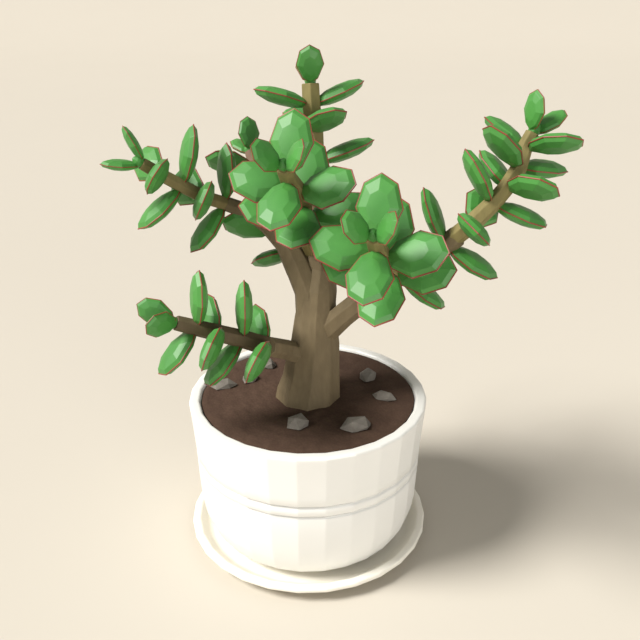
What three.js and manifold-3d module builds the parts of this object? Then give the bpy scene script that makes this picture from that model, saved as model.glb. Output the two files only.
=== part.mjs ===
// A potted jade bonsai: faceted fleshy leaves in opposite pairs with a thin red margin, a thick woody
// trunk with seven branches, soil with seven stones, a white pot with two grooves, and its saucer.
// Millimetres, +Z up. The origin is the centre of the saucer's flat underside, and -Y is the front.
import * as THREE from "three";
import { mergeVertices } from "three/addons/utils/BufferGeometryUtils.js";
import Module from "manifold-3d";

const wasm = await Module();
wasm.setup();

// Gap between touching pieces
const GAP = 0.3;

// Pot and saucer, both turned with this many flat sides
const POT_SIDES = 28;
const POT_TURN = THREE.MathUtils.degToRad(8.8);
const RIM_RADIUS = 70;
const RIM_TOP = 93;
const RIM_BEVEL = 1.5;
const LIP_WIDTH = 6;
const LIP_DROP = 2.2;
const WAIST_RADIUS = 67.6;
const SHOULDER_RADIUS = 66.9;
const SHOULDER_HEIGHT = 41.5;
const FOOT_RADIUS = 56.5;
const FOOT_TOP = 7;
const FOOT_RING_RADIUS = 51;
const FOOT_RING_WIDTH = 7;
const GROOVE_HEIGHTS = [59.8, 53.1];
const GROOVE_WIDTH = 2;
const GROOVE_DEPTH = 1.2;
const POT_WALL = 6;
const POT_FLOOR = 7;
const DRAIN_RADIUS = 6;
const WALL_HEIGHTS = [66, 75, 84];
const BOWL_SWEEP = 0.86;
const BOWL_STEPS = [1, 0.8, 0.6, 0.4, 0.2, 0];
const FOOT_FILLET = 1;

const SAUCER_RADIUS = 73.2;
const SAUCER_TOP = 9.4;
const SAUCER_EDGE = 7;
const SAUCER_LIP_RADIUS = 68.8;
const SAUCER_FLOOR_RADIUS = 62.4;
const SAUCER_FLOOR = 3.7;
const SAUCER_BASE_RADIUS = 57;
const SAUCER_EDGE_BEVEL = 1.5;
const SAUCER_TOP_BEVEL = 1.2;

// Soil
const SOIL_TOP = 91.8;
const LIP_UNDERSIDE = 88;
const SOIL_INSET = 0.32;
const SOIL_SPREAD = 0.9;

// Leaves
const LEAF_SIDES = 8;
const CROWN_ANGLE = THREE.MathUtils.degToRad(48);
const LEAF_WIDTH_SHARE = 0.69;
const LEAF_THICKNESS_SHARE = 0.28;
const LEAF_BASE_NARROWING = 0.3;
const MARGIN_THICKNESS = 0.8;
const LEAF_OFFSET = 1.5;
const LEAF_LENGTHS = [22, 31.6, 33.5];
const TIP_LIFT = THREE.MathUtils.degToRad(61);
const LEAF_LIFT = THREE.MathUtils.degToRad(19);
const QUARTER_TURN = Math.PI / 2;
const COLLAR_WALL = 1.1;
const COLLAR_HEIGHT = 2.6;
const BUD_RADIUS = 3.2;
const BUD_RINGS = 4;

// Stones are cut from a twenty-sided ball that is a little wider than its radius
const STONE_REACH = 1.8;
const STONE_ROLL = 3;

// The trunk's centre line with its radii, as [x, y, z, radius] points
const TRUNK_SIDES = 9;
const LIMB_SIDES = 7;
const STEM_SIDES = 6;
const TRUNK = [
  [0, 0, 80, 18],
  [0, 0, 91, 19.5],
  [0.5, 0, 96, 18.8],
  [2, 0, 104, 17.1],
  [2.8, 0.5, 114, 16],
  [4.4, 1, 127, 14.2],
  [4.6, 1.6, 141, 12.2],
  [5.8, 4.2, 156, 10.4],
  [8, 9, 171, 7.3],
];

// Each branch is a limb and, from its end, a stem up to the tip, each with [x, y, z, radius] points.
// Leaf pairs sit at the stem's points: pairs lists them, counted from the tip. turn sets the first
// pair's direction about the stem, and each point towards the root is a quarter turn further on. size
// makes the branch's leaves larger.
const BRANCHES = {
  upper_left: {
    limb: [
      [2.5, 1, 138, 9.5],
      [0.5, 3, 156, 8.2],
      [-6, 8, 171, 7.7],
      [-12, 13, 181.5, 6.8],
      [-23, 18.5, 191, 5.4],
      [-34.5, 20.5, 198, 4.6],
      [-45.5, 17.5, 203, 4.3],
    ],
    stem: [
      [-45.5, 17.5, 203, 4.2],
      [-56.5, 12.5, 208, 4.1],
      [-67, 8.5, 215, 4],
      [-77.5, 5.5, 222, 3.9],
      [-86.5, 2, 229, 3.6],
    ],
    pairs: [1, 2, 3, 4, 5],
    turn: 1,
    size: 1,
  },
  lower_left: {
    limb: [
      [1, 1, 116, 6.4],
      [-12.5, -12, 127, 5.9],
      [-21, -31.5, 138.5, 5.5],
    ],
    stem: [
      [-21, -31.5, 138.5, 5.3],
      [-33.5, -33, 143.5, 5.1],
      [-45.5, -35.5, 148, 4.8],
      [-56.5, -38.5, 152.5, 4.5],
      [-66.5, -43, 157.5, 4.1],
    ],
    pairs: [1, 2, 3, 4, 5],
    turn: 85,
    size: 1.03,
  },
  crown: {
    limb: [
      [6, 4, 138, 9.5],
      [8.5, 7, 155, 8.4],
      [8.5, 10.5, 172, 7.6],
      [7, 14, 195, 6.6],
      [4.5, 19, 226, 5.8],
    ],
    stem: [
      [4.5, 19, 226, 5.7],
      [4, 21, 243, 5.6],
      [2.5, 22.5, 256, 5.5],
      [2, 24.5, 266.5, 5.3],
    ],
    pairs: [1, 2, 3, 4],
    turn: 169,
    size: 1.02,
  },
  front: {
    limb: [
      [4, 12, 176, 5.6],
      [0.5, 4, 187, 5.5],
      [-1, -5, 196.5, 5.2],
      [-1, -13, 204, 4.9],
    ],
    stem: [
      [-1, -13, 204, 4.8],
      [-1, -20.5, 213.5, 4.7],
      [-4, -28.5, 222.5, 4.6],
      [-8, -37.5, 230.5, 4.5],
      [-9.5, -47, 238.5, 4.3],
    ],
    pairs: [1, 2, 3, 4, 5],
    turn: 91,
    size: 1.05,
  },
  right: {
    limb: [
      [7, 0, 130, 8],
      [20, -7, 146, 7],
      [34, -15, 162, 6.6],
      [48, -24, 176.5, 6.2],
      [59.5, -24, 184.5, 6],
      [71.5, -23, 192.5, 5.8],
      [77, -26, 198.5, 5.7],
    ],
    stem: [
      [48, -24, 176.5, 4.4],
      [59.5, -24, 184.5, 4.6],
      [71.5, -23, 192.5, 4.9],
      [82, -31, 205.5, 5],
      [92, -31.5, 216.5, 4.5],
      [98.5, -30, 224.5, 4.3],
      [104, -28, 233.5, 4.2],
      [106.5, -25.5, 243, 4],
      [110, -24, 249.5, 3.8],
    ],
    pairs: [1, 2, 3, 4, 5, 6, 7, 9],
    turn: 5,
    size: 0.97,
  },
  front_right: {
    limb: [
      [46.5, -21, 173, 6],
      [44.5, -31, 178.5, 5.4],
      [42, -42, 184.5, 4.9],
    ],
    stem: [
      [42, -42, 184.5, 4.8],
      [39.5, -52, 191.5, 4.6],
      [36, -61, 200, 4.5],
      [32.5, -70, 207.5, 4.3],
      [30.5, -79, 215, 4.1],
    ],
    pairs: [1, 2, 3, 4, 5],
    turn: 92,
    size: 1.04,
  },
  back_left: {
    limb: [
      [-7, 10, 165, 5],
      [-12.5, 19, 175, 4.8],
      [-17.5, 27.5, 184, 4.6],
    ],
    stem: [
      [-12.5, 19, 175, 4.6],
      [-17.5, 27.5, 184, 4.5],
      [-21, 37, 191, 4.4],
      [-24.5, 47, 197, 4.2],
      [-28, 57, 203.5, 4],
      [-32, 65.5, 211.5, 3.8],
      [-36, 73.5, 220, 3.6],
    ],
    pairs: [1, 2, 6, 7],
    turn: 6,
    size: 1,
  },
};

// Stones on the soil: place, size in x, y and above the soil, turn and lean in degrees
const STONES = [
  { at: [-51.5, 9.5], size: [15.5, 10, 4.6], turn: 10, lean: 8 },
  { at: [-36, 18], size: [12, 9, 4.4], turn: 65, lean: -10 },
  { at: [-26, 37], size: [13, 9, 4.4], turn: 120, lean: 6 },
  { at: [-5, -34.5], size: [13.5, 12, 6.4], turn: 35, lean: 12 },
  { at: [36.5, 21], size: [15, 11, 5.2], turn: 80, lean: -6 },
  { at: [45, -4.5], size: [14.5, 9.5, 4.2], turn: 155, lean: 10 },
  { at: [27, -36.5], size: [17.5, 12.5, 6.2], turn: 20, lean: -8 },
];

// Colours
const COLOURS = {
  leaf: "#4f9a4c",
  bark: "#7f6d52",
  soil: "#5a463a",
  stone: "#9a9388",
  glaze: "#efece2",
};

function material(colour, roughness) {
  return new THREE.MeshStandardMaterial({ color: colour, roughness, metalness: 0 });
}

// A closed geometry as a solid for joining and cutting
function solidOf(geometry) {
  const bare = geometry.clone();
  bare.deleteAttribute("normal");
  bare.deleteAttribute("uv");
  const merged = mergeVertices(bare, 1e-3);
  return new wasm.Manifold(
    new wasm.Mesh({
      numProp: 3,
      vertProperties: new Float32Array(merged.attributes.position.array),
      triVerts: new Uint32Array(merged.index.array),
    }),
  );
}

function geometryOf(solid) {
  const mesh = solid.getMesh();
  const geometry = new THREE.BufferGeometry();
  geometry.setAttribute("position", new THREE.BufferAttribute(mesh.vertProperties, 3));
  geometry.setIndex(new THREE.BufferAttribute(mesh.triVerts, 1));
  geometry.computeVertexNormals();
  return geometry;
}

function union(solids) {
  return solids.reduce((sum, next) => sum.add(next));
}

function named(name, geometry, look) {
  const mesh = new THREE.Mesh(geometry, look);
  mesh.name = name;
  return mesh;
}

// Turns an outline of [radius, height] points round the Z axis
function turned(outline) {
  const points = outline.map(([radius, height]) => new THREE.Vector2(radius, height));
  const geometry = new THREE.LatheGeometry(points, POT_SIDES);
  geometry.rotateX(QUARTER_TURN);
  geometry.rotateZ(POT_TURN);
  return geometry;
}

// The pot's outer radius at a height, between the rim and the shoulder
function wallRadius(height) {
  const share = (height - SHOULDER_HEIGHT) / (RIM_TOP - LIP_DROP - SHOULDER_HEIGHT);
  const flare = (RIM_RADIUS - SHOULDER_RADIUS) * share ** 2;
  return SHOULDER_RADIUS + flare + (WAIST_RADIUS - SHOULDER_RADIUS) * share * (1 - share) * 2;
}

// The bowl under the shoulder is a quarter of an oval down to the foot
function bowlPoint(share) {
  const sweep = QUARTER_TURN * BOWL_SWEEP;
  const angle = share * sweep;
  const reach = Math.sin(sweep);
  const inset = (1 - Math.cos(angle)) / (1 - Math.cos(sweep));
  return [
    SHOULDER_RADIUS - (SHOULDER_RADIUS - FOOT_RADIUS) * inset,
    SHOULDER_HEIGHT - (SHOULDER_HEIGHT - FOOT_TOP) * (Math.sin(angle) / reach),
  ];
}

function groove(height) {
  const half = GROOVE_WIDTH / 2;
  const radius = wallRadius(height);
  return [
    [radius, height - half],
    [radius - GROOVE_DEPTH, height - half / 2],
    [radius - GROOVE_DEPTH, height + half / 2],
    [radius, height + half],
  ];
}

function potGeometry() {
  const floorUnder = SAUCER_FLOOR + GAP;
  const floorTop = FOOT_TOP + POT_FLOOR;
  const bowl = BOWL_STEPS.map(bowlPoint);
  const lower = GROOVE_HEIGHTS[1];
  const upper = GROOVE_HEIGHTS[0];
  const wall = WALL_HEIGHTS.map((height) => [wallRadius(height), height]);
  return turned([
    [DRAIN_RADIUS, FOOT_TOP],
    [FOOT_RING_RADIUS - FOOT_RING_WIDTH, FOOT_TOP],
    [FOOT_RING_RADIUS - FOOT_RING_WIDTH, floorUnder],
    [FOOT_RING_RADIUS, floorUnder],
    [FOOT_RING_RADIUS + FOOT_FILLET, FOOT_TOP],
    ...bowl,
    ...groove(lower),
    ...groove(upper),
    ...wall,
    [RIM_RADIUS, RIM_TOP - LIP_DROP],
    [RIM_RADIUS, RIM_TOP - RIM_BEVEL],
    [RIM_RADIUS - RIM_BEVEL, RIM_TOP],
    [RIM_RADIUS - LIP_WIDTH, RIM_TOP],
    [RIM_RADIUS - LIP_WIDTH - RIM_BEVEL, LIP_UNDERSIDE],
    [SHOULDER_RADIUS - POT_WALL, SHOULDER_HEIGHT],
    [FOOT_RADIUS - POT_WALL, floorTop],
    [DRAIN_RADIUS, floorTop],
    [DRAIN_RADIUS, FOOT_TOP],
  ]);
}

function saucerGeometry() {
  return turned([
    [0, 0],
    [SAUCER_BASE_RADIUS, 0],
    [SAUCER_RADIUS - SAUCER_EDGE_BEVEL, SAUCER_EDGE - SAUCER_EDGE_BEVEL],
    [SAUCER_RADIUS, SAUCER_EDGE],
    [SAUCER_RADIUS - SAUCER_TOP_BEVEL, SAUCER_TOP],
    [SAUCER_LIP_RADIUS, SAUCER_TOP],
    [SAUCER_FLOOR_RADIUS, SAUCER_FLOOR],
    [0, SAUCER_FLOOR],
  ]);
}

function soilSolid() {
  const floor = FOOT_TOP + POT_FLOOR + GAP;
  const under = RIM_RADIUS - LIP_WIDTH - RIM_BEVEL - SOIL_INSET;
  return solidOf(
    turned([
      [0, floor],
      [FOOT_RADIUS - POT_WALL - SOIL_INSET, floor],
      [SHOULDER_RADIUS - POT_WALL - SOIL_INSET, SHOULDER_HEIGHT],
      [under, LIP_UNDERSIDE],
      [under + SOIL_SPREAD, SOIL_TOP],
      [0, SOIL_TOP],
    ]),
  );
}

function curveOf(line) {
  return new THREE.CatmullRomCurve3(line.map(([x, y, z]) => new THREE.Vector3(x, y, z)));
}

// A tapered round bar along a centre line of [x, y, z, radius] points, with flat ends
function barSolid(line, sides, grow = 0) {
  const curve = curveOf(line);
  const rings = line.length - 1;
  const geometry = new THREE.CylinderGeometry(1, 1, 1, sides, rings);
  const place = geometry.attributes.position;
  const frames = ringFrames(curve, rings);
  for (let i = 0; i < place.count; i++) {
    const share = place.getY(i) + 0.5;
    const frame = frames[Math.round(share * rings)];
    const radius = radiusAt(line, share) + grow;
    const point = frame.centre.clone();
    point.addScaledVector(frame.across, place.getX(i) * radius);
    point.addScaledVector(frame.up, -place.getZ(i) * radius);
    place.setXYZ(i, point.x, point.y, point.z);
  }
  return solidOf(geometry);
}

// Centres and directions of a bar's rings, carried along the curve without twist
function ringFrames(curve, rings) {
  const frames = [];
  const across = new THREE.Vector3(1, 0, 0);
  for (let i = 0; i <= rings; i++) {
    const along = curve.getTangent(i / rings);
    across.addScaledVector(along, -across.dot(along)).normalize();
    const up = new THREE.Vector3().crossVectors(along, across);
    frames.push({ centre: curve.getPoint(i / rings), along, across: across.clone(), up });
  }
  return frames;
}

function radiusAt(line, share) {
  const at = share * (line.length - 1);
  const i = Math.min(Math.floor(at), line.length - 2);
  return THREE.MathUtils.lerp(line[i][3], line[i + 1][3], at - i);
}

function trunkSolid(grow = 0) {
  const limbs = Object.values(BRANCHES).flatMap(({ limb, stem }) => [
    barSolid(limb, LIMB_SIDES, grow),
    barSolid(stem, STEM_SIDES, grow),
  ]);
  return union([barSolid(TRUNK, TRUNK_SIDES, grow), ...limbs]);
}

// One leaf: its base at the origin, its length along +Z, its width along X and its faces along Y
function leafSolid(length) {
  const half = MARGIN_THICKNESS / (length * LEAF_THICKNESS_SHARE);
  const crown = new THREE.Vector2(Math.cos(CROWN_ANGLE), Math.sin(CROWN_ANGLE));
  const profile = [
    new THREE.Vector2(0, -1),
    new THREE.Vector2(crown.x, -crown.y),
    new THREE.Vector2(1, -half),
    new THREE.Vector2(1, half),
    crown,
    new THREE.Vector2(0, 1),
  ];
  const geometry = new THREE.LatheGeometry(profile, LEAF_SIDES);
  const place = geometry.attributes.position;
  for (let i = 0; i < place.count; i++) {
    const along = place.getZ(i);
    const narrow = 1 + LEAF_BASE_NARROWING * Math.min(along, 0);
    place.setXYZ(
      i,
      (place.getX(i) * narrow * length * LEAF_WIDTH_SHARE) / 2,
      (place.getY(i) * length * LEAF_THICKNESS_SHARE) / 2,
      ((along + 1) * length) / 2,
    );
  }
  return solidOf(geometry);
}

// A matrix with its X, Y and Z axes along the given directions
function frameMatrix(x, y, z, at) {
  return new THREE.Matrix4().makeBasis(x, y, z).setPosition(at);
}

function moved(solid, matrix) {
  return solid.transform(matrix.elements);
}

// A leaf pair at a point of a stem, seen from its root: both leaves, joined by a collar or a bud
function pairSolid(at, along, turn, length, lift, radius, isTip) {
  const up = new THREE.Vector3(0, 0, 1).addScaledVector(along, -along.z).normalize();
  const side = new THREE.Vector3().crossVectors(along, up);
  const out = up.clone().multiplyScalar(Math.cos(turn)).addScaledVector(side, Math.sin(turn));
  const parts = [1, -1].map((sign) => {
    const away = out.clone().multiplyScalar(sign);
    const ahead = away.clone().multiplyScalar(Math.cos(lift)).addScaledVector(along, Math.sin(lift));
    const face = along.clone().multiplyScalar(Math.cos(lift)).addScaledVector(away, -Math.sin(lift));
    const wide = new THREE.Vector3().crossVectors(face, ahead);
    const base = at.clone().addScaledVector(away, LEAF_OFFSET);
    return moved(leafSolid(length - LEAF_OFFSET), frameMatrix(wide, face, ahead, base));
  });
  const across = new THREE.Vector3().crossVectors(out, along);
  if (isTip) {
    const bud = new THREE.SphereGeometry(BUD_RADIUS, LEAF_SIDES, BUD_RINGS);
    const top = at.clone().addScaledVector(along, BUD_RADIUS / 2);
    parts.push(moved(solidOf(bud), frameMatrix(out, along, across.negate(), top)));
  } else {
    const reach = radius + GAP + COLLAR_WALL;
    const collar = new THREE.CylinderGeometry(reach, reach, COLLAR_HEIGHT, LEAF_SIDES);
    parts.push(moved(solidOf(collar), frameMatrix(out, along, across.negate(), at)));
  }
  return union(parts);
}

// The wood's radius at a stem's point, which is the limb's where the limb passes the same point
function woodRadius(point, limb) {
  const same = limb.find(([x, y, z]) => x === point[0] && y === point[1] && z === point[2]);
  return same ? Math.max(same[3], point[3]) : point[3];
}

// The leaf pairs of one branch, at its stem's points
function branchPairs(name, { limb, stem, pairs, turn, size }) {
  const curve = curveOf(stem);
  const steps = stem.length - 1;
  return pairs.map((number) => {
    const share = 1 - (number - 1) / steps;
    return {
      name: `leaves_${name}_${number}`,
      solid: pairSolid(
        curve.getPoint(share),
        curve.getTangent(share),
        THREE.MathUtils.degToRad(turn) + (number - 1) * QUARTER_TURN,
        LEAF_LENGTHS[Math.min(number, LEAF_LENGTHS.length) - 1] * size,
        number === 1 ? TIP_LIFT : LEAF_LIFT,
        woodRadius(stem[steps + 1 - number], limb),
        number === 1,
      ),
    };
  });
}

// A stone with a flat underside that lies on the soil
function stoneSolid({ at, size, turn, lean }) {
  const [wide, deep, high] = size;
  const stone = new THREE.IcosahedronGeometry(1, 0);
  stone.rotateY(THREE.MathUtils.degToRad(lean * STONE_ROLL));
  stone.scale(wide / STONE_REACH, deep / STONE_REACH, high);
  stone.rotateX(THREE.MathUtils.degToRad(lean));
  stone.rotateZ(THREE.MathUtils.degToRad(turn));
  stone.translate(at[0], at[1], SOIL_TOP);
  const above = new THREE.BoxGeometry(wide * 3, wide * 3, high * 4);
  above.translate(at[0], at[1], SOIL_TOP + GAP + high * 2);
  return solidOf(stone).intersect(solidOf(above));
}

const bonsai = new THREE.Group();
const leafLook = material(COLOURS.leaf, 0.45);
const stoneLook = material(COLOURS.stone, 0.85);
const glazeLook = material(COLOURS.glaze, 0.25);

const trunk = trunkSolid();
const trunkRoom = trunkSolid(GAP);
bonsai.add(named("saucer", saucerGeometry(), glazeLook));
bonsai.add(named("pot", potGeometry(), glazeLook));
bonsai.add(named("soil", geometryOf(soilSolid().subtract(trunkRoom)), material(COLOURS.soil, 0.95)));
bonsai.add(named("trunk", geometryOf(trunk), material(COLOURS.bark, 0.85)));
STONES.forEach((stone, i) => {
  bonsai.add(named(`stone_${i + 1}`, geometryOf(stoneSolid(stone)), stoneLook));
});
for (const [name, branch] of Object.entries(BRANCHES)) {
  for (const pair of branchPairs(name, branch)) {
    const cut = pair.solid.subtract(trunkRoom);
    bonsai.add(named(pair.name, geometryOf(cut), leafLook));
  }
}

export default bonsai;
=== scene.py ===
"""A potted jade bonsai: faceted fleshy leaves with a thin red margin on a thick faceted trunk, dark soil
with seven stones, and a white glazed pot with two grooves on its saucer. Metres, +Z up. The origin is the
centre of the saucer's flat underside, and -Y is the front."""
import math
import random

import bmesh
import bpy
import numpy as np
from mathutils import Matrix, Vector


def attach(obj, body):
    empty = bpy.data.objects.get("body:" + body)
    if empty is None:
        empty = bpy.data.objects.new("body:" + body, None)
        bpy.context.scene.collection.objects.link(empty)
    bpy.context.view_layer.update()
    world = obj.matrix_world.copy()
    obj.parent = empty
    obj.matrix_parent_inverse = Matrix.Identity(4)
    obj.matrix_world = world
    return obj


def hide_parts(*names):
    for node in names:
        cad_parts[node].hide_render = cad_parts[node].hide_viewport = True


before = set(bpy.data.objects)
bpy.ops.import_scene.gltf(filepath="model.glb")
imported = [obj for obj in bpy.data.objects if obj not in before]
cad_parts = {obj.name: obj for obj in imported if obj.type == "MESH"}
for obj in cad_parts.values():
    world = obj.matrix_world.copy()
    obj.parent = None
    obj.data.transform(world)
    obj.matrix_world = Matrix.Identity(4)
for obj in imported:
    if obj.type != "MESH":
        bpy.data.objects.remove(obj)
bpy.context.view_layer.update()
MM = 0.001
WELD_DISTANCE = 0.00001
SAME_PLACE = 1e-6

# Camera and studio, in metres
CAMERA_PLACE = (0.00709, -0.4017, 0.3191)
CAMERA_TILT = math.radians(65.95)
CAMERA_VIEW = math.radians(45)
KEY_PLACE = (-0.72, -0.17, 0.70)
KEY_STRENGTH = 5.3
KEY_SOFTNESS = math.radians(23)
FILL_PLACE = (0.7, -1.6, 0.3)
FILL_AIM = (0, 0, 0.14)
FILL_STRENGTH = 17
FILL_SIZE = 1.1
AIR_STRENGTH = 0.3
FLOOR_SIZE = 12
FLOOR_BACK = 5.9
FLOOR_HEIGHT = -0.0002
BACKDROP_HEIGHT = 5
BACKDROP_ROUND = 3
BACKDROP_STEPS = 16

# Pot and saucer, in millimetres. Both have the same number of flat sides.
POT_SIDES = 28
POT_TURN = math.radians(8.8)
CORNER_SOFTNESS = 0.7
RIM_RADIUS = 70
RIM_TOP = 93
RIM_OUTER_ROUND = 1.9
RIM_INNER_ROUND = 1.6
RIM_ROUND_STEPS = 5
LIP_WIDTH = 6
LIP_DROP = 2.2
LIP_SLOPE = 1.5
LIP_UNDERSIDE = 88
WAIST_RADIUS = 67.6
SHOULDER_RADIUS = 66.9
SHOULDER_HEIGHT = 41.5
FOOT_RADIUS = 56.5
FOOT_TOP = 7
FOOT_RING_RADIUS = 51
FOOT_RING_WIDTH = 7
FOOT_UNDERSIDE = 4
GROOVE_HEIGHTS = [59.8, 53.1]
GROOVE_WIDTH = 2
GROOVE_DEPTH = 1.7
POT_WALL = 6
POT_FLOOR_TOP = 14
DRAIN_RADIUS = 6
WALL_HEIGHTS = [66, 75, 84, 89]
BOWL_SWEEP = 0.86
BOWL_STEPS = [1, 0.8, 0.6, 0.4, 0.2, 0]
POT_LEAST_CORNER = 20
SAUCER_RADIUS = 73.2
SAUCER_TOP = 9.4
SAUCER_EDGE = 7
SAUCER_EDGE_BEVEL = 1.5
SAUCER_LIP_INSET = 0.4
SAUCER_OUTER_ROUND = 1
SAUCER_INNER_ROUND = 1.2
SAUCER_FLOOR_ROUND = 3
SAUCER_ROUND_STEPS = 4
SAUCER_MIDDLE = 40
SAUCER_LEAST_CORNER = 41
SAUCER_LIP_RADIUS = 68.8
SAUCER_FLOOR_RADIUS = 62.4
SAUCER_FLOOR = 3.7
SAUCER_BASE_RADIUS = 57

# Soil, in millimetres
SOIL_TOP = 91.8
SOIL_RADIUS = 62.6
SOIL_FLOOR = 14.3
SOIL_SIDES = 112
SOIL_RINGS = 26
SOIL_GAP = 1
SOIL_NECK_INSET = 1.2
SOIL_EDGE_DROP = 0.6
SOIL_SKIN = 0.2
CRUMB_HEIGHT = 0.7
LUMP_SIZE = 0.006

# Stones, in millimetres
STONE_SOFTNESS = 0.45

# Leaves, in millimetres. The lengths, from the stem's middle line to the leaf's tip, are those of the
# first, the second and all further pairs from a branch's tip.
LEAF_BODY = 32
LEAF_WIDTH = 22.1
LEAF_THICKNESS = 9
LEAF_NARROWING = 0.3
LEAF_OFFSET = 1.5
LEAF_LENGTHS = [22, 31.6, 33.5]
MARGIN_WIDTH = 0.6
MARGIN_REACH = 0.55
FACET_SOFTNESS = 0.16
TIP_LIFT = math.radians(61)
LEAF_LIFT = math.radians(19)
QUARTER_TURN = math.pi / 2
BUD_RADIUS = 3.2
BUD_SOFTNESS = 0.25

# Wood. The trunk's centre line has [x, y, z, radius] points in millimetres.
WOOD_SOFTNESS = 0.5
TRUNK_SIDES = 9
LIMB_SIDES = 7
STEM_SIDES = 6
TRUNK = [
    [0, 0, 80, 18],
    [0, 0, 91, 19.5],
    [0.5, 0, 96, 18.8],
    [2, 0, 104, 17.1],
    [2.8, 0.5, 114, 16],
    [4.4, 1, 127, 14.2],
    [4.6, 1.6, 141, 12.2],
    [5.8, 4.2, 156, 10.4],
    [8, 9, 171, 6],
]

# Each branch is a limb and a stem up to its tip. Leaf pairs sit at the stem's points, counted from the
# tip. turn is the first pair's direction about the stem, and each next pair is a quarter turn further on.
# size scales the branch's leaves. The stem's bar starts at the point with the number bare_from, so that
# a stem whose first points lie inside its limb doesn't show there.
BRANCHES = {
    "upper_left": {
        "limb": [
            [2.5, 1, 138, 9.5],
            [0.5, 3, 156, 8.2],
            [-6, 8, 171, 7.7],
            [-12, 13, 181.5, 6.8],
            [-23, 18.5, 191, 5.4],
            [-34.5, 20.5, 198, 4.6],
            [-45.5, 17.5, 203, 4.3],
        ],
        "stem": [
            [-45.5, 17.5, 203, 4.2],
            [-56.5, 12.5, 208, 4.1],
            [-67, 8.5, 215, 4],
            [-77.5, 5.5, 222, 3.9],
            [-86.5, 2, 229, 3.6],
        ],
        "pairs": [1, 2, 3, 4, 5],
        "turn": 1,
        "size": 1,
        "bare_from": 0,
        "limb_tone": "bark",
        "stem_tone": "tan",
    },
    "lower_left": {
        "limb": [
            [1, 1, 116, 6.4],
            [-12.5, -12, 127, 5.9],
            [-21, -31.5, 138.5, 5.5],
        ],
        "stem": [
            [-21, -31.5, 138.5, 5.3],
            [-33.5, -33, 143.5, 5.1],
            [-45.5, -35.5, 148, 4.8],
            [-56.5, -38.5, 152.5, 4.5],
            [-66.5, -43, 157.5, 4.1],
        ],
        "pairs": [1, 2, 3, 4, 5],
        "turn": 85,
        "size": 1.03,
        "bare_from": 0,
        "limb_tone": "bark",
        "stem_tone": "brown",
    },
    "crown": {
        "limb": [
            [6, 4, 138, 9.8],
            [7.5, 7, 155, 9.6],
            [7.5, 10.5, 172, 8.7],
            [7, 14, 195, 6.6],
            [4.5, 19, 226, 5.8],
        ],
        "stem": [
            [4.5, 19, 226, 5.7],
            [4, 21, 243, 5.6],
            [2.5, 22.5, 256, 5.5],
            [2, 24.5, 266.5, 5.3],
        ],
        "pairs": [1, 2, 3, 4],
        "turn": 169,
        "size": 1.02,
        "bare_from": 0,
        "limb_tone": "bark",
        "stem_tone": "olive",
    },
    "front": {
        "limb": [
            [4, 12, 176, 5.6],
            [0.5, 4, 187, 5.5],
            [-1, -5, 196.5, 5.2],
            [-1, -13, 204, 4.9],
        ],
        "stem": [
            [-1, -13, 204, 4.8],
            [-1, -20.5, 213.5, 4.7],
            [-4, -28.5, 222.5, 4.6],
            [-8, -37.5, 230.5, 4.5],
            [-9.5, -47, 238.5, 4.3],
        ],
        "pairs": [1, 2, 3, 4, 5],
        "turn": 91,
        "size": 1.05,
        "bare_from": 0,
        "limb_tone": "olive",
        "stem_tone": "olive",
    },
    "right": {
        "limb": [
            [7, 0, 130, 8],
            [20, -7, 146, 7],
            [34, -15, 162, 6.6],
            [48, -24, 176.5, 6.2],
            [59.5, -24, 184.5, 6],
            [71.5, -23, 192.5, 5.8],
            [77, -26, 198.5, 5.7],
        ],
        "stem": [
            [48, -24, 176.5, 4.4],
            [59.5, -24, 184.5, 4.6],
            [71.5, -23, 192.5, 4.9],
            [82, -31, 205.5, 5],
            [92, -31.5, 216.5, 4.5],
            [98.5, -30, 224.5, 4.3],
            [104, -28, 233.5, 4.2],
            [106.5, -25.5, 243, 4],
            [110, -24, 249.5, 3.8],
        ],
        "pairs": [1, 2, 3, 4, 5, 6, 7, 9],
        "turn": 5,
        "size": 0.97,
        "bare_from": 2,
        "limb_tone": "bark",
        "stem_tone": "olive",
    },
    "front_right": {
        "limb": [
            [46.5, -21, 173, 6],
            [44.5, -31, 178.5, 5.4],
            [42, -42, 184.5, 4.9],
        ],
        "stem": [
            [42, -42, 184.5, 4.8],
            [39.5, -52, 191.5, 4.6],
            [36, -61, 200, 4.5],
            [32.5, -70, 207.5, 4.3],
            [30.5, -79, 215, 4.1],
        ],
        "pairs": [1, 2, 3, 4, 5],
        "turn": 92,
        "size": 1.04,
        "bare_from": 0,
        "limb_tone": "olive",
        "stem_tone": "olive",
    },
    "back_left": {
        "limb": [
            [-7, 10, 165, 5],
            [-12.5, 19, 175, 4.8],
            [-17.5, 27.5, 184, 4.6],
        ],
        "stem": [
            [-12.5, 19, 175, 4.6],
            [-17.5, 27.5, 184, 4.5],
            [-21, 37, 191, 4.4],
            [-24.5, 47, 197, 4.2],
            [-28, 57, 203.5, 4],
            [-32, 65.5, 211.5, 3.8],
            [-36, 73.5, 220, 3.6],
        ],
        "pairs": [1, 2, 6, 7],
        "turn": 6,
        "size": 1,
        "bare_from": 0,
        "limb_tone": "rosy",
        "stem_tone": "rosy",
    },
}

# Bark colours, as linear light
BARK_TONES = {
    "bark": (0.168, 0.130, 0.076, 1),
    "brown": (0.128, 0.092, 0.055, 1),
    "tan": (0.195, 0.160, 0.070, 1),
    "olive": (0.225, 0.190, 0.078, 1),
    "rosy": (0.190, 0.118, 0.082, 1),
}


# Camera, floor and light

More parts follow.
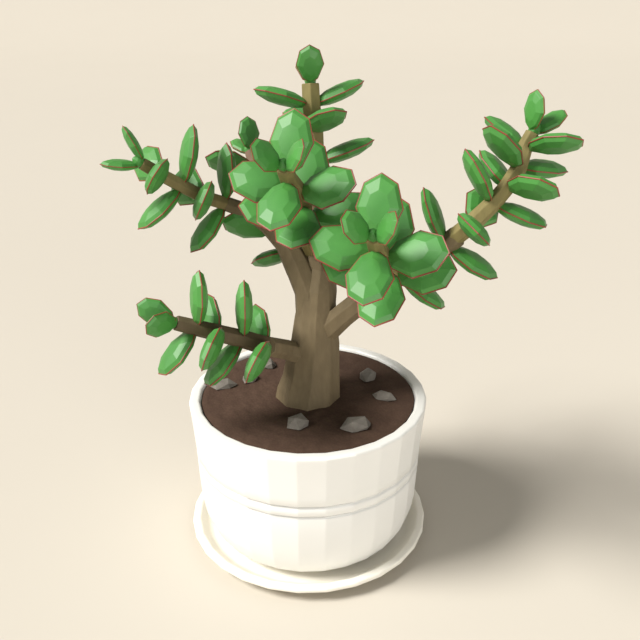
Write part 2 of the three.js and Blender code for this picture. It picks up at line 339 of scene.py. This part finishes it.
def make_camera():
    lens = bpy.data.cameras.new("photo_camera")
    lens.lens_unit = "FOV"
    lens.angle = CAMERA_VIEW
    lens.clip_start = 0.01
    camera = bpy.data.objects.new("photo_camera", lens)
    camera.location = CAMERA_PLACE
    camera.rotation_euler = (CAMERA_TILT, 0, 0)
    bpy.context.scene.collection.objects.link(camera)
    bpy.context.scene.camera = camera


def make_light(name, kind, place, aim, strength, colour, **shape):
    lamp = bpy.data.lights.new(name, kind)
    lamp.energy = strength
    lamp.color = colour
    for setting, value in shape.items():
        setattr(lamp, setting, value)
    light = bpy.data.objects.new(name, lamp)
    light.location = place
    light.rotation_euler = (Vector(aim) - Vector(place)).to_track_quat("-Z", "Y").to_euler()
    bpy.context.scene.collection.objects.link(light)


def light_studio():
    make_light(
        "key_light",
        "SUN",
        KEY_PLACE,
        (0, 0, 0),
        KEY_STRENGTH,
        (1.0, 0.975, 0.94),
        angle=KEY_SOFTNESS,
    )
    make_light(
        "front_fill",
        "AREA",
        FILL_PLACE,
        FILL_AIM,
        FILL_STRENGTH,
        (1.0, 0.985, 0.96),
        shape="DISK",
        size=FILL_SIZE,
    )
    world = bpy.data.worlds.new("studio_air")
    world.use_nodes = True
    air = world.node_tree.nodes["Background"]
    air.inputs["Color"].default_value = (1.0, 0.98, 0.95, 1)
    air.inputs["Strength"].default_value = AIR_STRENGTH
    bpy.context.scene.world = world
    bpy.context.scene.view_settings.view_transform = "Standard"


def make_floor(look):
    """A floor that runs up into a backdrop far behind the plant"""

    def at_back(edge):
        return all(point.co.y > FLOOR_BACK for point in edge.verts)

    def at_backdrop_foot(edge):
        return at_back(edge) and all(point.co.z < BACKDROP_HEIGHT / 2 for point in edge.verts)

    deselect_all()
    bpy.ops.mesh.primitive_plane_add(size=FLOOR_SIZE, location=(0, 0, FLOOR_HEIGHT))
    floor = bpy.context.active_object
    floor.name = "studio_floor"
    bpy.ops.object.mode_set(mode="EDIT")
    pick(floor, "EDGE", at_back)
    bpy.ops.mesh.extrude_edges_move(TRANSFORM_OT_translate={"value": (0, 0, BACKDROP_HEIGHT)})
    pick(floor, "EDGE", at_backdrop_foot)
    bpy.ops.mesh.bevel(offset=BACKDROP_ROUND, segments=BACKDROP_STEPS)
    bpy.ops.object.mode_set(mode="OBJECT")
    bpy.ops.object.transform_apply(location=True, rotation=True, scale=True)
    bpy.ops.object.shade_smooth()
    floor.data.materials.append(look)


# Bench work: picking parts of a piece, shading and joining

def deselect_all():
    if bpy.context.mode != "OBJECT":
        bpy.ops.object.mode_set(mode="OBJECT")
    bpy.ops.object.select_all(action="DESELECT")


def take(piece):
    deselect_all()
    piece.select_set(True)
    bpy.context.view_layer.objects.active = piece


def pick(piece, kind, test):
    """Selects the points, edges or faces of a piece in edit mode that pass a test"""
    bpy.ops.mesh.select_mode(type=kind)
    bpy.ops.mesh.select_all(action="DESELECT")
    shape = bmesh.from_edit_mesh(piece.data)
    parts = {"VERT": shape.verts, "EDGE": shape.edges, "FACE": shape.faces}[kind]
    for part in parts:
        if test(part):
            part.select_set(True)
    bmesh.update_edit_mesh(piece.data)


def paint_picked(piece, slot_number):
    shape = bmesh.from_edit_mesh(piece.data)
    for face in shape.faces:
        if face.select:
            face.material_index = slot_number
    bmesh.update_edit_mesh(piece.data)


def apply_modifier(piece, kind, **settings):
    take(piece)
    modifier = piece.modifiers.new(kind.title(), kind)
    for setting, value in settings.items():
        setattr(modifier, setting, value)
    bpy.ops.object.modifier_apply(modifier=modifier.name)


def soften_edges(piece, width, angle, steps=2):
    """Rounds the piece's edges a little and keeps its large facets flat"""
    apply_modifier(
        piece,
        "BEVEL",
        width=width * MM,
        segments=steps,
        limit_method="ANGLE",
        angle_limit=math.radians(angle),
        miter_outer="MITER_SHARP",
    )
    flatten_facets(piece)


def flatten_facets(piece):
    take(piece)
    bpy.ops.object.shade_smooth()
    apply_modifier(piece, "WEIGHTED_NORMAL", weight=80, keep_sharp=False)


def copy_of(piece, matrix):
    """A copy of a finished master with its own mesh, moved to its place"""
    twin = piece.copy()
    twin.data = piece.data.copy()
    twin.data.transform(matrix)
    bpy.context.scene.collection.objects.link(twin)
    return twin


def join(parts, name):
    deselect_all()
    for part in parts:
        part.select_set(True)
    bpy.context.view_layer.objects.active = parts[0]
    bpy.ops.object.join()
    joined = bpy.context.active_object
    joined.name = name
    joined.data.name = name
    return joined


def stand_for(piece, node):
    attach(piece, "root")
    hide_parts(node)


def point_of(entry):
    return Vector(entry[:3]) * MM


# Materials

def new_look(name):
    look = bpy.data.materials.new(name)
    look.use_nodes = True
    shader = look.node_tree.nodes["Principled BSDF"]
    return look, shader


def add_node(look, kind, settings=None, **inputs):
    node = look.node_tree.nodes.new(kind)
    for setting, value in (settings or {}).items():
        setattr(node, setting, value)
    for name, value in inputs.items():
        node.inputs[name.replace("_", " ")].default_value = value
    return node


def link(look, source, output, target, socket):
    look.node_tree.links.new(source.outputs[output], target.inputs[socket])


def place_pattern(look, stretch=(1, 1, 1)):
    """Object coordinates, stretched along the axes"""
    coordinates = add_node(look, "ShaderNodeTexCoord")
    mapping = add_node(look, "ShaderNodeMapping", Scale=stretch)
    link(look, coordinates, "Object", mapping, "Vector")
    return mapping


def noise(look, pattern, scale, detail=4, roughness=0.55):
    texture = add_node(look, "ShaderNodeTexNoise", Scale=scale, Detail=detail, Roughness=roughness)
    link(look, pattern, "Vector", texture, "Vector")
    return texture


def ramp(look, source, output, stops):
    """Colours along a value, as [position, colour] stops"""
    band = add_node(look, "ShaderNodeValToRGB")
    band.color_ramp.elements[0].position = stops[0][0]
    band.color_ramp.elements[0].color = stops[0][1]
    band.color_ramp.elements[1].position = stops[-1][0]
    band.color_ramp.elements[1].color = stops[-1][1]
    for position, colour in stops[1:-1]:
        band.color_ramp.elements.new(position).color = colour
    link(look, source, output, band, "Fac")
    return band


def mix_colours(look, blend, amount, first, first_output, second, second_output):
    mixer = add_node(look, "ShaderNodeMixRGB", {"blend_type": blend}, Fac=amount)
    link(look, first, first_output, mixer, "Color1")
    link(look, second, second_output, mixer, "Color2")
    return mixer


def roughen(look, shader, source, output, strength, depth):
    """Turns a pattern into fine relief, depth in millimetres"""
    relief = add_node(look, "ShaderNodeBump", Strength=strength, Distance=depth * MM)
    link(look, source, output, relief, "Height")
    link(look, relief, "Normal", shader, "Normal")


def leaf_look():
    """Waxy green skin, a little deeper in patches, with faint pale pores"""
    look, shader = new_look("jade_leaf_skin")
    pattern = place_pattern(look)
    patches = noise(look, pattern, 55, 3)
    greens = ramp(look, patches, "Fac", [
        [0.3, (0.046, 0.205, 0.034, 1)],
        [0.7, (0.066, 0.262, 0.046, 1)],
    ])
    pores = add_node(look, "ShaderNodeTexVoronoi", {"feature": "F1"}, Scale=900)
    link(look, pattern, "Vector", pores, "Vector")
    dots = ramp(look, pores, "Distance", [
        [0.08, (1.25, 1.2, 1.25, 1)],
        [0.2, (1, 1, 1, 1)],
    ])
    skin = mix_colours(look, "MULTIPLY", 0.8, greens, "Color", dots, "Color")
    tone = add_node(look, "ShaderNodeAttribute", {"attribute_name": "leaf_tone"})
    toned = mix_colours(look, "MULTIPLY", 1.0, skin, "Color", tone, "Color")
    link(look, toned, "Color", shader, "Base Color")
    shader.inputs["Roughness"].default_value = 0.5
    shader.inputs["Coat Weight"].default_value = 0.05
    shader.inputs["Coat Roughness"].default_value = 0.35
    grain = noise(look, pattern, 1400, 2)
    roughen(look, shader, grain, "Fac", 0.12, 0.1)
    return look


def margin_look():
    """The leaf's red margin, paler in places"""
    look, shader = new_look("jade_leaf_margin")
    pattern = place_pattern(look)
    patches = noise(look, pattern, 160, 3)
    reds = ramp(look, patches, "Fac", [
        [0.3, (0.200, 0.032, 0.020, 1)],
        [0.7, (0.270, 0.050, 0.028, 1)],
    ])
    link(look, reds, "Color", shader, "Base Color")
    shader.inputs["Roughness"].default_value = 0.45
    grain = noise(look, pattern, 1400, 2)
    roughen(look, shader, grain, "Fac", 0.1, 0.1)
    return look


def bark_look():
    """Bark that takes its tone from each branch, with upright streaks and fine cracks"""
    look, shader = new_look("jade_bark")
    tone = add_node(look, "ShaderNodeAttribute", {"attribute_name": "bark_tone"})
    upright = place_pattern(look, (1, 1, 0.3))
    streaks = noise(look, upright, 260, 5, 0.6)
    shades = ramp(look, streaks, "Fac", [
        [0.25, (0.80, 0.78, 0.74, 1)],
        [0.75, (1.12, 1.10, 1.06, 1)],
    ])
    streaked = mix_colours(look, "MULTIPLY", 1.0, tone, "Color", shades, "Color")
    patches = noise(look, upright, 40, 3)
    broad = ramp(look, patches, "Fac", [
        [0.3, (0.90, 0.90, 0.90, 1)],
        [0.7, (1.08, 1.06, 1.02, 1)],
    ])
    bark = mix_colours(look, "MULTIPLY", 1.0, streaked, "Color", broad, "Color")
    link(look, bark, "Color", shader, "Base Color")
    shader.inputs["Roughness"].default_value = 0.75
    shader.inputs["Specular IOR Level"].default_value = 0.3
    cracks = noise(look, upright, 520, 6, 0.65)
    roughen(look, shader, cracks, "Fac", 0.35, 0.5)
    return look


def soil_look():
    """Dark red-brown potting soil with fine crumbs"""
    look, shader = new_look("potting_soil")
    pattern = place_pattern(look)
    patches = noise(look, pattern, 90, 5, 0.6)
    browns = ramp(look, patches, "Fac", [
        [0.3, (0.068, 0.040, 0.028, 1)],
        [0.55, (0.080, 0.048, 0.033, 1)],
        [0.8, (0.092, 0.056, 0.039, 1)],
    ])
    crumbs = add_node(look, "ShaderNodeTexVoronoi", {"feature": "F1"}, Scale=650)
    link(look, pattern, "Vector", crumbs, "Vector")
    shades = ramp(look, crumbs, "Distance", [
        [0.1, (1.06, 1.05, 1.04, 1)],
        [0.7, (0.88, 0.87, 0.87, 1)],
    ])
    crumbly = mix_colours(look, "MULTIPLY", 0.8, browns, "Color", shades, "Color")
    link(look, crumbly, "Color", shader, "Base Color")
    shader.inputs["Roughness"].default_value = 0.95
    shader.inputs["Specular IOR Level"].default_value = 0.15
    roughen(look, shader, crumbs, "Distance", 0.25, 0.4)
    return look


def stone_look():
    """Pale grey stone with darker specks"""
    look, shader = new_look("garden_stone")
    pattern = place_pattern(look)
    patches = noise(look, pattern, 220, 5, 0.6)
    greys = ramp(look, patches, "Fac", [
        [0.3, (0.129, 0.113, 0.094, 1)],
        [0.7, (0.190, 0.171, 0.146, 1)],
    ])
    specks = add_node(look, "ShaderNodeTexVoronoi", {"feature": "F1"}, Scale=1100)
    link(look, pattern, "Vector", specks, "Vector")
    spots = ramp(look, specks, "Distance", [
        [0.12, (0.72, 0.70, 0.68, 1)],
        [0.25, (1, 1, 1, 1)],
    ])
    speckled = mix_colours(look, "MULTIPLY", 0.7, greys, "Color", spots, "Color")
    link(look, speckled, "Color", shader, "Base Color")
    shader.inputs["Roughness"].default_value = 0.85
    grain = noise(look, pattern, 700, 5, 0.6)
    roughen(look, shader, grain, "Fac", 0.3, 0.35)
    return look


def glaze_look(name, low, high):
    """Pale glaze, cloudy between two tones, with a slightly wavy skin. In two greys the same look is the
    painted shade in the pot's grooves
    """
    look, shader = new_look(name)
    pattern = place_pattern(look)
    clouds = noise(look, pattern, 22, 3)
    whites = ramp(look, clouds, "Fac", [
        [0.3, low],
        [0.7, high],
    ])
    link(look, whites, "Color", shader, "Base Color")
    shader.inputs["Roughness"].default_value = 0.38
    shader.inputs["Coat Weight"].default_value = 0.15
    shader.inputs["Coat Roughness"].default_value = 0.2
    waves = noise(look, pattern, 120, 2)
    roughen(look, shader, waves, "Fac", 0.06, 0.2)
    return look


def floor_look():
    look, shader = new_look("cream_floor")
    pattern = place_pattern(look)
    clouds = noise(look, pattern, 3, 2)
    creams = ramp(look, clouds, "Fac", [
        [0.3, (0.562, 0.522, 0.450, 1)],
        [0.7, (0.566, 0.526, 0.454, 1)],
    ])
    link(look, creams, "Color", shader, "Base Color")
    shader.inputs["Roughness"].default_value = 0.9
    shader.inputs["Specular IOR Level"].default_value = 0.1
    return look


# Pot, saucer and soil

def round_corner(before, corner, after, radius, steps):
    """Points of an outline that round a corner between two other points"""
    into = (Vector(before) - Vector(corner)).normalized()
    out = (Vector(after) - Vector(corner)).normalized()
    start = Vector(corner) + into * radius
    end = Vector(corner) + out * radius
    points = []
    for step in range(steps + 1):
        share = step / steps
        first = start.lerp(Vector(corner), share)
        second = Vector(corner).lerp(end, share)
        points.append(list(first.lerp(second, share)))
    return points


def turn_piece(name, outline, sides, turn):
    """Extrudes a ring of flat sides through the [radius, height] points of an outline"""
    deselect_all()
    radius, height = outline[0]
    bpy.ops.mesh.primitive_circle_add(
        vertices=sides, radius=radius * MM, location=(0, 0, height * MM), rotation=(0, 0, turn)
    )
    piece = bpy.context.active_object
    piece.name = name
    piece.data.name = name
    bpy.ops.object.transform_apply(location=True, rotation=True, scale=True)
    bpy.ops.object.mode_set(mode="EDIT")
    bpy.ops.mesh.select_all(action="SELECT")
    for next_radius, next_height in outline[1:]:
        rise = (next_height - height) * MM
        spread = next_radius / radius
        bpy.ops.mesh.extrude_edges_move(TRANSFORM_OT_translate={"value": (0, 0, rise)})
        bpy.ops.transform.resize(value=(spread, spread, 1), center_override=(0, 0, next_height * MM))
        radius = next_radius
        height = next_height
    return piece


def soften_corners(piece, least_radius):
    """Rounds the upright corners between the flat sides"""

    def upright(edge):
        low, high = edge.verts
        same_side = low.co.xy.angle(high.co.xy, 1) < 0.01
        return same_side and min(low.co.xy.length, high.co.xy.length) > least_radius * MM

    pick(piece, "EDGE", upright)
    bpy.ops.mesh.bevel(offset=CORNER_SOFTNESS * MM, segments=2, clamp_overlap=False)


def wall_radius(height):
    """The wall's outer radius at a height above the shoulder, a little bowed and flared towards the rim"""
    share = (height - SHOULDER_HEIGHT) / (RIM_TOP - LIP_DROP - SHOULDER_HEIGHT)
    flare = (RIM_RADIUS - SHOULDER_RADIUS) * share**2
    return SHOULDER_RADIUS + flare + (WAIST_RADIUS - SHOULDER_RADIUS) * share * (1 - share) * 2


def bowl_point(share):
    """A point of the bowl's curve, from the shoulder at share 0 to the foot at share 1"""
    sweep = QUARTER_TURN * BOWL_SWEEP
    inset = (1 - math.cos(share * sweep)) / (1 - math.cos(sweep))
    drop = math.sin(share * sweep) / math.sin(sweep)
    radius = SHOULDER_RADIUS - (SHOULDER_RADIUS - FOOT_RADIUS) * inset
    return [radius, SHOULDER_HEIGHT - (SHOULDER_HEIGHT - FOOT_TOP) * drop]


def groove(height):
    """The outline of one groove, wider at the wall than at its bottom"""
    half = GROOVE_WIDTH / 2
    radius = wall_radius(height)
    return [
        [radius, height - half],
        [radius - GROOVE_DEPTH, height - half / 2],
        [radius - GROOVE_DEPTH, height + half / 2],
        [radius, height + half],
    ]


def rim_outline():
    outer = [RIM_RADIUS, RIM_TOP]
    inner = [RIM_RADIUS - LIP_WIDTH, RIM_TOP]
    under = [RIM_RADIUS - LIP_WIDTH - LIP_SLOPE, LIP_UNDERSIDE]
    below = [RIM_RADIUS, RIM_TOP - LIP_DROP]
    return [
        *round_corner(below, outer, inner, RIM_OUTER_ROUND, RIM_ROUND_STEPS),
        *round_corner(outer, inner, under, RIM_INNER_ROUND, RIM_ROUND_STEPS),
        under,
    ]


def lies_in_groove(face):
    """Whether all of a pot face's points lie in one of the two grooves"""
    for point in face.verts:
        height = point.co.z / MM
        depth = wall_radius(height) - math.hypot(point.co.x, point.co.y) / MM
        near = any(abs(height - groove_height) < GROOVE_WIDTH for groove_height in GROOVE_HEIGHTS)
        if not near or not GROOVE_DEPTH / 2 < depth < GROOVE_DEPTH * 2:
            return False
    return True


def make_pot(look, groove_shade_look):
    outline = [
        [DRAIN_RADIUS, FOOT_TOP],
        [FOOT_RING_RADIUS - FOOT_RING_WIDTH, FOOT_TOP],
        [FOOT_RING_RADIUS - FOOT_RING_WIDTH, FOOT_UNDERSIDE],
        [FOOT_RING_RADIUS, FOOT_UNDERSIDE],
        [FOOT_RING_RADIUS + 1, FOOT_TOP],
        *[bowl_point(share) for share in BOWL_STEPS],
        *groove(GROOVE_HEIGHTS[1]),
        *groove(GROOVE_HEIGHTS[0]),
        *[[wall_radius(height), height] for height in WALL_HEIGHTS],
        *rim_outline(),
        [SHOULDER_RADIUS - POT_WALL, SHOULDER_HEIGHT],
        [FOOT_RADIUS - POT_WALL, POT_FLOOR_TOP],
        [DRAIN_RADIUS, POT_FLOOR_TOP],
        [DRAIN_RADIUS, FOOT_TOP],
    ]
    pot = turn_piece("pot_glazed", outline, POT_SIDES, POT_TURN)
    bpy.ops.mesh.select_all(action="SELECT")
    bpy.ops.mesh.remove_doubles(threshold=WELD_DISTANCE)
    soften_corners(pot, POT_LEAST_CORNER)
    bpy.ops.mesh.select_all(action="SELECT")
    bpy.ops.mesh.normals_make_consistent(inside=False)
    pot.data.materials.append(look)
    # The faces in the two grooves get a second, grey look: painted shade that stands in for the shade
    # falling into the grooves
    pot.data.materials.append(groove_shade_look)
    pick(pot, "FACE", lies_in_groove)
    paint_picked(pot, 1)
    bpy.ops.object.mode_set(mode="OBJECT")
    flatten_facets(pot)
    stand_for(pot, "pot")


def make_saucer(look):
    edge = [SAUCER_RADIUS, SAUCER_EDGE]
    lip = [SAUCER_RADIUS - SAUCER_LIP_INSET, SAUCER_TOP]
    inner = [SAUCER_LIP_RADIUS, SAUCER_TOP]
    floor = [SAUCER_FLOOR_RADIUS, SAUCER_FLOOR]
    middle = [SAUCER_MIDDLE, SAUCER_FLOOR]
    outline = [
        [SAUCER_BASE_RADIUS, 0],
        [SAUCER_RADIUS - SAUCER_EDGE_BEVEL, SAUCER_EDGE - SAUCER_EDGE_BEVEL],
        edge,
        *round_corner(edge, lip, inner, SAUCER_OUTER_ROUND, SAUCER_ROUND_STEPS),
        *round_corner(lip, inner, floor, SAUCER_INNER_ROUND, SAUCER_ROUND_STEPS),
        *round_corner(inner, floor, middle, SAUCER_FLOOR_ROUND, SAUCER_ROUND_STEPS),
        middle,
    ]
    saucer = turn_piece("saucer_glazed", outline, POT_SIDES, POT_TURN)
    bpy.ops.mesh.edge_face_add()
    pick(saucer, "EDGE", lambda side: all(abs(point.co.z) < SAME_PLACE for point in side.verts))
    bpy.ops.mesh.edge_face_add()
    soften_corners(saucer, SAUCER_LEAST_CORNER)
    bpy.ops.mesh.select_all(action="SELECT")
    bpy.ops.mesh.normals_make_consistent(inside=False)
    bpy.ops.object.mode_set(mode="OBJECT")
    flatten_facets(saucer)
    saucer.data.materials.append(look)
    stand_for(saucer, "saucer")


def make_soil(look):
    """The soil in the pot, with a finely divided surface that is lumpy"""

    def on_floor(edge):
        return all(abs(point.co.z - SOIL_FLOOR * MM) < SAME_PLACE for point in edge.verts)

    skin_height = (SOIL_TOP - SOIL_SKIN) * MM
    rings = [[SOIL_RADIUS * (1 - step / SOIL_RINGS), SOIL_TOP] for step in range(1, SOIL_RINGS)]
    outline = [
        [FOOT_RADIUS - POT_WALL - SOIL_GAP, SOIL_FLOOR],
        [SHOULDER_RADIUS - POT_WALL - SOIL_GAP, SHOULDER_HEIGHT],
        [SOIL_RADIUS - SOIL_NECK_INSET, LIP_UNDERSIDE],
        [SOIL_RADIUS, SOIL_TOP - SOIL_EDGE_DROP],
        *rings,
    ]
    soil = turn_piece("soil_bed", outline, SOIL_SIDES, 0)
    bpy.ops.mesh.edge_face_add()
    bpy.ops.mesh.poke()
    pick(soil, "EDGE", on_floor)
    bpy.ops.mesh.edge_face_add()
    pick(soil, "FACE", lambda face: face.calc_center_median().z > skin_height)
    bpy.ops.mesh.subdivide(number_cuts=1)
    bpy.ops.mesh.select_all(action="SELECT")
    bpy.ops.mesh.normals_make_consistent(inside=False)
    bpy.ops.object.mode_set(mode="OBJECT")
    surface = soil.vertex_groups.new(name="surface")
    top = [point.index for point in soil.data.vertices if point.co.z > skin_height]
    surface.add(top, 1, "REPLACE")
    lumps = bpy.data.textures.new("soil_lumps", "CLOUDS")
    lumps.noise_scale = LUMP_SIZE
    lumps.noise_depth = 3
    apply_modifier(
        soil,
        "DISPLACE",
        texture=lumps,
        texture_coords="LOCAL",
        direction="Z",
        vertex_group="surface",
        strength=CRUMB_HEIGHT * 2 * MM,
        mid_level=0.62,
    )
    take(soil)
    bpy.ops.object.shade_smooth_by_angle(angle=math.radians(50))
    soil.data.materials.append(look)
    stand_for(soil, "soil")


# Stones

def make_stone(name, look):
    """A new object with a copy of the stone solid's mesh, merged, and its edges worn round"""
    stone = bpy.data.objects.new(f"{name}_worn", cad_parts[name].data.copy())
    stone.data.name = stone.name
    bpy.context.scene.collection.objects.link(stone)
    take(stone)
    bpy.ops.object.mode_set(mode="EDIT")
    bpy.ops.mesh.select_all(action="SELECT")
    bpy.ops.mesh.remove_doubles(threshold=WELD_DISTANCE)
    bpy.ops.mesh.dissolve_limited(angle_limit=math.radians(2))
    bpy.ops.object.mode_set(mode="OBJECT")
    stone.data.materials.clear()
    stone.data.materials.append(look)
    soften_edges(stone, STONE_SOFTNESS, 10)
    stand_for(stone, name)


# Wood

def heading(line, i):
    """A centre line's direction at one of its points, on a smooth curve through all of them"""
    if i == 0:
        return (point_of(line[1]) - point_of(line[0])).normalized()
    if i == len(line) - 1:
        return (point_of(line[-1]) - point_of(line[-2])).normalized()
    before, here, after = [point_of(line[k]) for k in (i - 1, i, i + 1)]
    first = math.sqrt((here - before).length)
    second = math.sqrt((after - here).length)
    way = (here - before) / first - (after - before) / (first + second) + (after - here) / second
    return way.normalized()


def make_bar(line, sides):
    """Rings of flat sides along a centre line, bridged and closed at both ends"""
    deselect_all()
    across = Vector((1, 0, 0))
    bar = None
    for i, entry in enumerate(line):
        along = heading(line, i)
        across = (across - along * across.dot(along)).normalized()
        up = along.cross(across)
        turn = Matrix((-across, -up, along)).transposed().to_euler()
        is_end = i in (0, len(line) - 1)
        bpy.ops.mesh.primitive_circle_add(
            vertices=sides,
            radius=entry[3] * MM,
            location=point_of(entry),
            rotation=turn,
            fill_type="NGON" if is_end else "NOTHING",
        )
        if bar is None:
            bar = bpy.context.active_object
            bpy.ops.object.transform_apply(location=True, rotation=True, scale=True)
            bpy.ops.object.mode_set(mode="EDIT")
    bpy.ops.mesh.select_mode(type="EDGE")
    for i in range(len(line) - 1):
        bridge_rings(bar, i * sides, sides)
    bpy.ops.mesh.select_all(action="SELECT")
    bpy.ops.mesh.normals_make_consistent(inside=False)
    bpy.ops.object.mode_set(mode="OBJECT")
    return bar


def bridge_rings(bar, first, sides):
    """Bridges two neighbouring rings, whose points follow each other in the mesh"""
    lower = range(first, first + sides)
    upper = range(first + sides, first + 2 * sides)

    def in_one_ring(edge):
        ends = [point.index for point in edge.verts]
        return all(end in lower for end in ends) or all(end in upper for end in ends)

    pick(bar, "EDGE", in_one_ring)
    bpy.ops.mesh.bridge_edge_loops()


def tone_bar(bar, tone):
    tones = bar.data.color_attributes.new("bark_tone", "FLOAT_COLOR", "POINT")
    tones.data.foreach_set("color", np.tile(BARK_TONES[tone], len(bar.data.vertices)).astype(np.float32))


def make_wood(look):
    """The trunk, limbs and stems as bars that grow out of one another"""
    lines = [(TRUNK, TRUNK_SIDES, "bark")]
    for branch in BRANCHES.values():
        lines.append((branch["limb"], LIMB_SIDES, branch["limb_tone"]))
        lines.append((branch["stem"][branch["bare_from"]:], STEM_SIDES, branch["stem_tone"]))
    bars = []
    for line, sides, tone in lines:
        bar = make_bar(line, sides)
        bar.data.materials.append(look)
        soften_edges(bar, WOOD_SOFTNESS, 8)
        tone_bar(bar, tone)
        bars.append(bar)
    wood = join(bars, "trunk_wood")
    stand_for(wood, "trunk")


# Leaves

def make_leaf_master(skin, margin):
    """One leaf with its base at the origin, along +X, its faces up and down, and a raised red margin"""
    deselect_all()
    bpy.ops.mesh.primitive_uv_sphere_add(segments=8, ring_count=6, radius=1)
    leaf = bpy.context.active_object
    leaf.name = "leaf_master"
    leaf.data.materials.append(skin)
    leaf.data.materials.append(margin)
    bpy.ops.object.mode_set(mode="EDIT")
    bpy.ops.mesh.select_all(action="SELECT")
    half_length = LEAF_BODY / 2 * MM
    half_size = (half_length, LEAF_WIDTH / 2 * MM, LEAF_THICKNESS / 2 * MM)
    bpy.ops.transform.resize(value=half_size, center_override=(0, 0, 0))
    rows = sorted({round(point.co.x / half_length, 4) for point in bmesh.from_edit_mesh(leaf.data).verts})
    for row in [row for row in rows if -0.99 < row < -0.01]:
        pick(leaf, "VERT", lambda point: abs(point.co.x / half_length - row) < 0.001)
        narrow = 1 + LEAF_NARROWING * row
        bpy.ops.transform.resize(value=(1, narrow, 1), center_override=(row * half_length, 0, 0))
    pick(leaf, "EDGE", lambda edge: all(abs(point.co.z) < SAME_PLACE for point in edge.verts))
    bpy.ops.mesh.bevel(offset_type="WIDTH", offset=MARGIN_WIDTH * MM, segments=1)
    pick(leaf, "FACE", lambda face: abs(face.normal.z) < 0.1)
    reach = 1 + MARGIN_REACH * MM / half_size[0]
    widen = 1 + MARGIN_REACH * MM / half_size[1]
    bpy.ops.mesh.extrude_region_move(TRANSFORM_OT_translate={"value": (0, 0, 0)})
    bpy.ops.transform.resize(value=(reach, widen, 1), center_override=(0, 0, 0))
    pick(leaf, "FACE", lambda face: all(abs(point.co.z) < MARGIN_WIDTH * MM for point in face.verts))
    paint_picked(leaf, 1)
    bpy.ops.mesh.select_all(action="SELECT")
    bpy.ops.transform.translate(value=(half_length, 0, 0))
    bpy.ops.object.mode_set(mode="OBJECT")
    soften_edges(leaf, FACET_SOFTNESS, 9)
    return leaf


def make_bud(radius, look):
    """A small blunt bud that joins the two leaves at a tip, along +Z"""
    deselect_all()
    bpy.ops.mesh.primitive_uv_sphere_add(segments=8, ring_count=6, radius=radius * MM)
    bud = bpy.context.active_object
    bpy.ops.object.mode_set(mode="EDIT")
    pick(bud, "VERT", lambda point: point.co.z > radius * 0.6 * MM)
    bpy.ops.transform.resize(value=(0.75, 0.75, 1.25), center_override=(0, 0, 0))
    bpy.ops.object.mode_set(mode="OBJECT")
    bud.data.materials.append(look)
    soften_edges(bud, BUD_SOFTNESS, 9)
    return bud


def tone_leaf(leaf, shade):
    tones = leaf.data.color_attributes.new("leaf_tone", "FLOAT_COLOR", "POINT")
    colour = (shade, shade, shade, 1)
    tones.data.foreach_set("color", np.tile(colour, len(leaf.data.vertices)).astype(np.float32))


def basis(x, y, z, at):
    turned = Matrix((x, y, z)).transposed().to_4x4()
    turned.translation = at
    return turned


def make_pair(name, master, skin, shades, at, along, turn, length, lift, is_tip):
    """Two opposite leaves at a point of a stem that grows along a direction"""
    up = (Vector((0, 0, 1)) - along * along.z).normalized()
    side = along.cross(up)
    out = up * math.cos(turn) + side * math.sin(turn)
    size = (length - LEAF_OFFSET) / LEAF_BODY
    parts = []
    for sign in (1, -1):
        away = out * sign
        ahead = away * math.cos(lift) + along * math.sin(lift)
        face = along * math.cos(lift) - away * math.sin(lift)
        wide = face.cross(ahead)
        place = basis(ahead, wide, face, at + away * LEAF_OFFSET * MM)
        leaf = copy_of(master, place @ Matrix.Scale(size, 4))
        tone_leaf(leaf, shades.uniform(0.93, 1.05))
        parts.append(leaf)
    if is_tip:
        bud = make_bud(BUD_RADIUS, skin)
        bud.data.transform(basis(out, along.cross(out), along, at + along * BUD_RADIUS / 2 * MM))
        tone_leaf(bud, 0.95)
        parts.append(bud)
    pair = join(parts, f"{name}_pair")
    stand_for(pair, name)


def make_leaves(skin, margin):
    master = make_leaf_master(skin, margin)
    shades = random.Random(11)
    for branch_name, branch in BRANCHES.items():
        stem = branch["stem"]
        for number in branch["pairs"]:
            i = len(stem) - number
            make_pair(
                f"leaves_{branch_name}_{number}",
                master,
                skin,
                shades,
                point_of(stem[i]),
                heading(stem, i),
                math.radians(branch["turn"]) + (number - 1) * QUARTER_TURN,
                LEAF_LENGTHS[min(number, len(LEAF_LENGTHS)) - 1] * branch["size"],
                TIP_LIFT if number == 1 else LEAF_LIFT,
                number == 1,
            )
    bpy.data.objects.remove(master)


make_camera()
light_studio()
make_floor(floor_look())
make_pot(
    glaze_look("white_glaze", (0.780, 0.772, 0.732, 1), (0.800, 0.792, 0.755, 1)),
    # grey painted shade for the grooves, darker than the glaze
    glaze_look("groove_painted_shade", (0.370, 0.365, 0.340, 1), (0.420, 0.412, 0.388, 1)),
)
make_saucer(glaze_look("cream_glaze", (0.880, 0.845, 0.745, 1), (0.900, 0.865, 0.770, 1)))
make_soil(soil_look())
stone = stone_look()
for stone_name in sorted(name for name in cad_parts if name.startswith("stone_")):
    make_stone(stone_name, stone)
make_wood(bark_look())
make_leaves(leaf_look(), margin_look())
